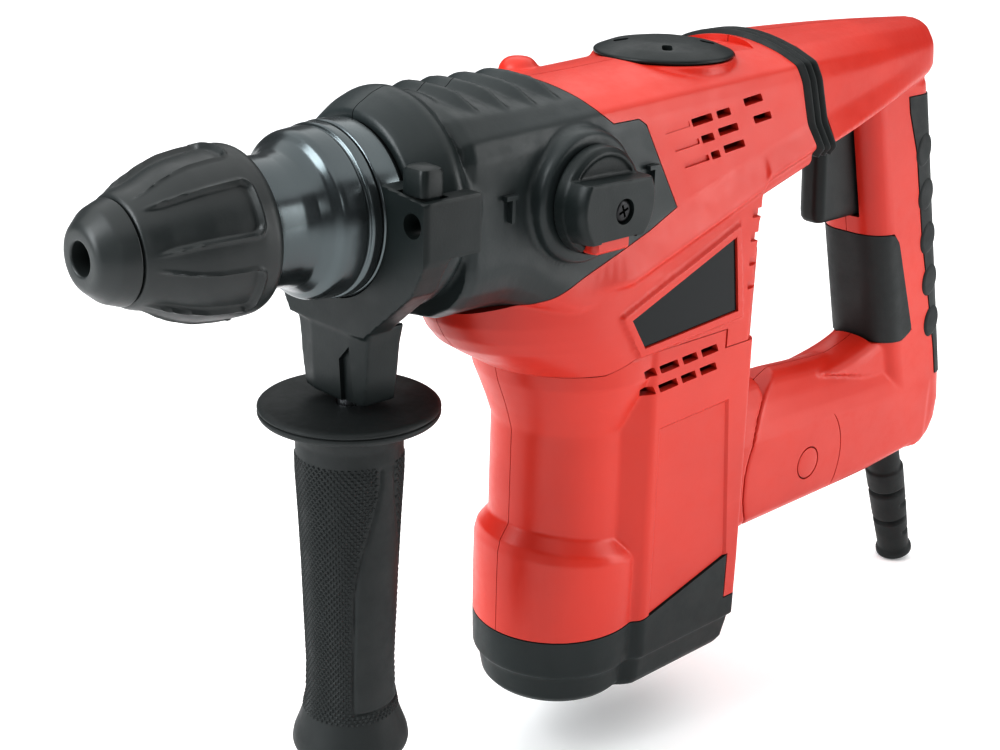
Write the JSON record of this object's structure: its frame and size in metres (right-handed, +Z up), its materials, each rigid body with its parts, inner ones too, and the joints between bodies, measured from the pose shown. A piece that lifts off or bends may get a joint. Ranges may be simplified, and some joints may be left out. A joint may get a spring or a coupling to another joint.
{
  "type": "rotary hammer",
  "caption": "Two-handed rotary hammer with an upright motor, slide-back chuck, clamp-on side handle and a spring-mounted D-shaped rear handle",
  "frame": {"origin": "on the motor axis, in the plane of the flat foot under the motor", "axes": "X runs along the tool axis, which is 0.210 m above the foot, with the chuck towards -X and the rear handle towards +X; Z is up; Y completes a right-handed frame, with the mode dial on the -Y side"},
  "size_m": [0.4592, 0.0928, 0.2776],
  "materials": {
    "red_shell": "satin moulded plastic",
    "black_shell": "fine-grained moulded plastic",
    "black_rubber": "matt soft rubber",
    "case_metal": "cast light alloy with a black satin coat",
    "neck_metal": "turned light alloy with a glossy black coat",
    "band_steel": "steel strip with a glossy black coat",
    "machined_steel": "ground and hardened",
    "lamination_steel": "stacked electrical sheet",
    "copper": "turned copper",
    "brass": "folded sheet",
    "carbon": "pressed carbon",
    "label_black": "plain glossy plate"
  },
  "bodies": {
    "housing": {"gear_case": "case_metal", "upper_housing_left": "red_shell", "upper_housing_right": "red_shell", "motor_housing_left": "red_shell", "motor_housing_right": "red_shell", "motor_end_cap": "black_shell", "service_cap": "black_shell", "label_plate": "label_black", "spindle_neck": "neck_metal", "bellows": "black_rubber", "stator": "lamination_steel", "brush_holder_front": "brass", "brush_holder_rear": "brass", "carbon_brush_front": "carbon", "carbon_brush_rear": "carbon", "lower_bearing": "machined_steel", "upper_bearing": "machined_steel", "front_bearing": "machined_steel", "rear_bearing": "machined_steel", "crank_bearing": "machined_steel", "pivot_pin": "red_shell", "damper_guide": "machined_steel", "damper_spring": "machined_steel"},
    "rotor": {"armature_shaft": "machined_steel", "motor_pinion": "machined_steel", "armature_core": "lamination_steel", "commutator": "copper", "cooling_fan": "black_shell"},
    "crank": {"crank_gear": "machined_steel"},
    "idler": {"idler_gear": "machined_steel"},
    "spindle_group": {"spindle": "machined_steel", "spindle_gear": "machined_steel", "chuck_cap": "black_rubber", "sleeve_spring": "machined_steel"},
    "sleeve": {"chuck_sleeve": "black_rubber"},
    "bolt": {"impact_bolt": "machined_steel"},
    "ram": {"striker": "machined_steel"},
    "piston_group": {"piston": "machined_steel", "wrist_pin": "machined_steel"},
    "rod": {"connecting_rod": "machined_steel"},
    "side_clamp": {"clamp_saddle": "black_shell", "clamp_band": "band_steel"},
    "stop_button": {"depth_stop_button": "black_shell"},
    "side_handle": {"side_grip": "black_rubber", "handle_bolt": "machined_steel"},
    "knob": {"mode_knob": "black_shell", "knob_screw": "band_steel"},
    "knob_lock": {"knob_lock_button": "red_shell"},
    "rear_handle": {"handle_shell_left": "red_shell", "handle_shell_right": "red_shell", "front_grip_pad": "black_rubber", "rear_grip_strip": "black_rubber", "cord_boot": "black_rubber", "switch_body": "black_shell", "trigger_spring": "machined_steel", "damper_seat": "black_shell"},
    "trigger_group": {"trigger": "black_shell"}
  },
  "joints": [
    {"name": "rotor_spin", "type": "hinge", "parent": "housing", "child": "rotor", "pos_m": [0, 0, 0.1], "axis": [0, 0, 1], "continuous": true},
    {"name": "crank_spin", "type": "hinge", "parent": "housing", "child": "crank", "pos_m": [0.0361, 0, 0.176], "axis": [0, 0, 1], "continuous": true},
    {"name": "idler_spin", "type": "hinge", "parent": "housing", "child": "idler", "pos_m": [-0.0286, 0, 0.176], "axis": [0, 0, 1], "continuous": true},
    {"name": "spindle_spin", "type": "hinge", "parent": "housing", "child": "spindle_group", "pos_m": [-0.1, 0, 0.21], "axis": [1, 0, 0], "continuous": true},
    {"name": "chuck_sleeve_slide", "type": "slide", "parent": "spindle_group", "child": "sleeve", "axis": [1, 0, 0], "range_m": [0, 0.008], "stiffness_N_per_m": 1500, "springref_m": -0.004, "deforming": ["sleeve_spring"]},
    {"name": "impact_bolt_slide", "type": "slide", "parent": "spindle_group", "child": "bolt", "axis": [1, 0, 0], "range_m": [-0.004, 0]},
    {"name": "striker_slide", "type": "slide", "parent": "housing", "child": "ram", "axis": [1, 0, 0], "range_m": [-0.0045, 0.008]},
    {"name": "piston_slide", "type": "slide", "parent": "housing", "child": "piston_group", "axis": [1, 0, 0], "range_m": [-0.01, 0.01]},
    {"name": "rod_swing", "type": "hinge", "parent": "piston_group", "child": "rod", "pos_m": [-0.039, 0, 0.21], "axis": [0, 0, 1], "range_deg": [-8.8, 8.8]},
    {"name": "side_handle_swivel", "type": "hinge", "parent": "housing", "child": "side_clamp", "pos_m": [-0.105, 0, 0.21], "axis": [1, 0, 0], "range_deg": [-180, 180]},
    {"name": "side_grip_twist", "type": "hinge", "parent": "side_clamp", "child": "side_handle", "pos_m": [-0.105, 0, 0.1], "axis": [0, 0, 1], "range_deg": [-360, 0]},
    {"name": "stop_button_press", "type": "slide", "parent": "side_clamp", "child": "stop_button", "axis": [0, 0, -1], "range_m": [0, 0.003], "stiffness_N_per_m": 800, "springref_m": -0.002},
    {"name": "mode_knob_turn", "type": "hinge", "parent": "housing", "child": "knob", "pos_m": [-0.034, -0.045, 0.209], "axis": [0, 1, 0], "range_deg": [-90, 90]},
    {"name": "knob_lock_press", "type": "slide", "parent": "knob", "child": "knob_lock", "axis": [0, 1, 0], "range_m": [0, 0.002], "stiffness_N_per_m": 500, "springref_m": -0.001},
    {"name": "rear_handle_damping", "type": "hinge", "parent": "housing", "child": "rear_handle", "pos_m": [0.14, 0, 0.057], "axis": [0, 1, 0], "range_deg": [-1.6, 0], "stiffness_Nm_per_rad": 600, "springref_deg": 57.3, "deforming": ["bellows", "damper_spring"]},
    {"name": "trigger_pull", "type": "slide", "parent": "rear_handle", "child": "trigger_group", "axis": [1, 0, 0], "range_m": [0, 0.006], "stiffness_N_per_m": 900, "springref_m": -0.003, "deforming": ["trigger_spring"]}
  ],
  "couplings": [
    {"joint": "crank_spin", "follows": "rotor_spin", "ratio": -0.20455},
    {"joint": "idler_spin", "follows": "rotor_spin", "ratio": -0.27273},
    {"joint": "spindle_spin", "follows": "rotor_spin", "ratio": 0.079545}
  ]
}
